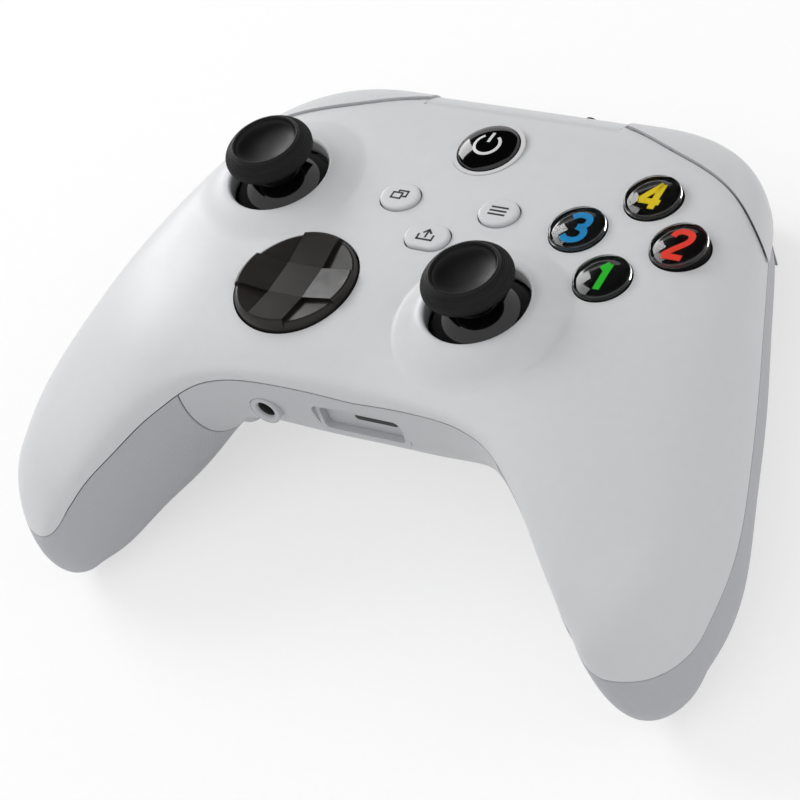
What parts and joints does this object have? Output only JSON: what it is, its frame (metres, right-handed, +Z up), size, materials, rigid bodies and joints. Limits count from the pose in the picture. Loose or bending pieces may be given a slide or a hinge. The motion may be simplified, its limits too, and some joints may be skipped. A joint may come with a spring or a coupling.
{
  "type": "wireless gamepad controller",
  "caption": "Wireless gamepad in light grey with two offset thumbsticks, a round direction dish, coloured-digit buttons, bumpers, triggers and a battery bay",
  "frame": {"origin": "centre of the flat underside of the battery door, where the gamepad stands on a table", "axes": "+X to the player's right, +Y away from the player towards the triggers, +Z up"},
  "size_m": [0.149, 0.1094, 0.0553],
  "materials": {
    "shell_white": "satin, very light grey",
    "shell_grey": "satin, light grey, grips micro-textured",
    "bumper_grey": "semi-gloss grey",
    "stick_black": "matte black, knurled edge",
    "gloss_black": "glossy black",
    "dish_dark": "dark satin with glossy rim",
    "key_grey": "satin light grey",
    "light_ring": "translucent",
    "inner_black": "moulded black",
    "soft_rubber": "silicone",
    "board_green": "lacquered board",
    "spring_steel": "plated",
    "weight_brass": "machined",
    "cell_jacket": "printed metal jacket"
  },
  "bodies": {
    "shell": {"front_case": "shell_white", "rear_case": "shell_grey", "left_grip_cover": "shell_grey", "right_grip_cover": "shell_grey", "aa_cells": "cell_jacket", "battery_contacts": "spring_steel", "bumper_bridge": "bumper_grey", "left_trigger_frame": "inner_black", "right_trigger_frame": "inner_black", "left_trigger_pin": "spring_steel", "right_trigger_pin": "spring_steel", "left_trigger_spring": "spring_steel", "right_trigger_spring": "spring_steel", "bumper_switches": "inner_black", "guide_light_ring": "light_ring", "face_button_membrane": "soft_rubber", "centre_button_membrane": "soft_rubber", "main_board": "board_green", "left_rumble_motor": "spring_steel", "right_rumble_motor": "spring_steel", "usb_c_port": "spring_steel", "expansion_port": "inner_black", "headphone_jack": "inner_black", "case_screws": "spring_steel", "board_screws": "spring_steel", "left_stick_module": "inner_black", "right_stick_module": "inner_black"},
    "battery_door": {"battery_door": "shell_grey"},
    "left_bumper": {"left_bumper": "bumper_grey"},
    "left_trigger": {"left_trigger": "shell_grey"},
    "right_bumper": {"right_bumper": "bumper_grey"},
    "right_trigger": {"right_trigger": "shell_grey"},
    "left_stick_outer": {"left_stick_outer_yoke": "inner_black"},
    "left_stick_inner": {"left_stick_inner_yoke": "inner_black"},
    "left_stick": {"left_stick_lever": "spring_steel", "left_stick_dome": "gloss_black", "left_stick_cap": "stick_black"},
    "right_stick_outer": {"right_stick_outer_yoke": "inner_black"},
    "right_stick_inner": {"right_stick_inner_yoke": "inner_black"},
    "right_stick": {"right_stick_lever": "spring_steel", "right_stick_dome": "gloss_black", "right_stick_cap": "stick_black"},
    "dpad_plate": {"dpad_spring_plate": "spring_steel"},
    "dpad": {"dpad_dish": "dish_dark"},
    "bottom_face_button": {"bottom_face_button": "gloss_black"},
    "right_face_button": {"right_face_button": "gloss_black"},
    "left_face_button": {"left_face_button": "gloss_black"},
    "top_face_button": {"top_face_button": "gloss_black"},
    "guide_button": {"guide_button": "gloss_black"},
    "view_button": {"view_button": "key_grey"},
    "menu_button": {"menu_button": "key_grey"},
    "share_button": {"share_button": "key_grey"},
    "pair_button": {"pair_button": "gloss_black"},
    "left_rumble_weight": {"left_rumble_weight": "weight_brass"},
    "right_rumble_weight": {"right_rumble_weight": "weight_brass"}
  },
  "joints": [
    {"name": "battery_door_slide", "type": "slide", "parent": "shell", "child": "battery_door", "axis": [0, 0, -1], "range_m": [0, 0.025]},
    {"name": "left_bumper_hinge", "type": "hinge", "parent": "shell", "child": "left_bumper", "pos_m": [-0.022, 0.03735, 0.0274], "axis": [0, 0.1736, 0.9848], "range_deg": [0, 0.4], "stiffness_Nm_per_rad": 5},
    {"name": "left_trigger_hinge", "type": "hinge", "parent": "shell", "child": "left_trigger", "pos_m": [-0.04, 0.02728, 0.01923], "axis": [-1, 0, 0], "range_deg": [0, 14], "stiffness_Nm_per_rad": 0.08},
    {"name": "right_bumper_hinge", "type": "hinge", "parent": "shell", "child": "right_bumper", "pos_m": [0.022, 0.03735, 0.0274], "axis": [0, -0.1736, -0.9848], "range_deg": [0, 0.4], "stiffness_Nm_per_rad": 5},
    {"name": "right_trigger_hinge", "type": "hinge", "parent": "shell", "child": "right_trigger", "pos_m": [0.04, 0.02728, 0.01923], "axis": [-1, 0, 0], "range_deg": [0, 14], "stiffness_Nm_per_rad": 0.08},
    {"name": "left_stick_tilt_y", "type": "hinge", "parent": "shell", "child": "left_stick_outer", "pos_m": [-0.0384, 0.01022, 0.02904], "axis": [1, 0, 0], "range_deg": [-14, 14], "stiffness_Nm_per_rad": 0.05},
    {"name": "left_stick_tilt_x", "type": "hinge", "parent": "left_stick_outer", "child": "left_stick_inner", "pos_m": [-0.0384, 0.01022, 0.02904], "axis": [0, 0.9848, -0.1736], "range_deg": [-14, 14], "stiffness_Nm_per_rad": 0.05},
    {"name": "left_stick_click", "type": "slide", "parent": "left_stick_inner", "child": "left_stick", "axis": [0, -0.1736, -0.9848], "range_m": [0, 0.0005], "stiffness_N_per_m": 2000},
    {"name": "right_stick_tilt_y", "type": "hinge", "parent": "shell", "child": "right_stick_outer", "pos_m": [0.0203, -0.01338, 0.03513], "axis": [1, 0, 0], "range_deg": [-14, 14], "stiffness_Nm_per_rad": 0.05},
    {"name": "right_stick_tilt_x", "type": "hinge", "parent": "right_stick_outer", "child": "right_stick_inner", "pos_m": [0.0203, -0.01338, 0.03513], "axis": [0, 0.9848, -0.1736], "range_deg": [-14, 14], "stiffness_Nm_per_rad": 0.05},
    {"name": "right_stick_click", "type": "slide", "parent": "right_stick_inner", "child": "right_stick", "axis": [0, -0.1736, -0.9848], "range_m": [0, 0.0005], "stiffness_N_per_m": 2000},
    {"name": "dpad_tilt_y", "type": "hinge", "parent": "shell", "child": "dpad_plate", "pos_m": [-0.0203, -0.01239, 0.04074], "axis": [1, 0, 0], "range_deg": [-3.5, 3.5], "stiffness_Nm_per_rad": 0.13},
    {"name": "dpad_tilt_x", "type": "hinge", "parent": "dpad_plate", "child": "dpad", "pos_m": [-0.0203, -0.01239, 0.04074], "axis": [0, 0.9848, -0.1736], "range_deg": [-3.5, 3.5], "stiffness_Nm_per_rad": 0.13},
    {"name": "bottom_face_button_press", "type": "slide", "parent": "shell", "child": "bottom_face_button", "axis": [0, -0.1736, -0.9848], "range_m": [0, 0.0012], "stiffness_N_per_m": 400},
    {"name": "right_face_button_press", "type": "slide", "parent": "shell", "child": "right_face_button", "axis": [0, -0.1736, -0.9848], "range_m": [0, 0.0012], "stiffness_N_per_m": 400},
    {"name": "left_face_button_press", "type": "slide", "parent": "shell", "child": "left_face_button", "axis": [0, -0.1736, -0.9848], "range_m": [0, 0.0012], "stiffness_N_per_m": 400},
    {"name": "top_face_button_press", "type": "slide", "parent": "shell", "child": "top_face_button", "axis": [0, -0.1736, -0.9848], "range_m": [0, 0.0012], "stiffness_N_per_m": 400},
    {"name": "guide_button_press", "type": "slide", "parent": "shell", "child": "guide_button", "axis": [0, -0.1736, -0.9848], "range_m": [0, 0.0005], "stiffness_N_per_m": 600},
    {"name": "view_button_press", "type": "slide", "parent": "shell", "child": "view_button", "axis": [0, -0.1736, -0.9848], "range_m": [0, 0.0006], "stiffness_N_per_m": 600},
    {"name": "menu_button_press", "type": "slide", "parent": "shell", "child": "menu_button", "axis": [0, -0.1736, -0.9848], "range_m": [0, 0.0006], "stiffness_N_per_m": 600},
    {"name": "share_button_press", "type": "slide", "parent": "shell", "child": "share_button", "axis": [0, -0.1736, -0.9848], "range_m": [0, 0.0006], "stiffness_N_per_m": 600},
    {"name": "pair_button_press", "type": "slide", "parent": "shell", "child": "pair_button", "axis": [0, -0.9848, 0.1736], "range_m": [0, 0.0003], "stiffness_N_per_m": 600},
    {"name": "left_rumble_spin", "type": "hinge", "parent": "shell", "child": "left_rumble_weight", "pos_m": [-0.0575, -0.03497, 0.02035], "axis": [-0.3312, -0.9162, -0.2257], "continuous": true},
    {"name": "right_rumble_spin", "type": "hinge", "parent": "shell", "child": "right_rumble_weight", "pos_m": [0.0575, -0.03497, 0.02035], "axis": [0.3312, -0.9162, -0.2257], "continuous": true}
  ]
}
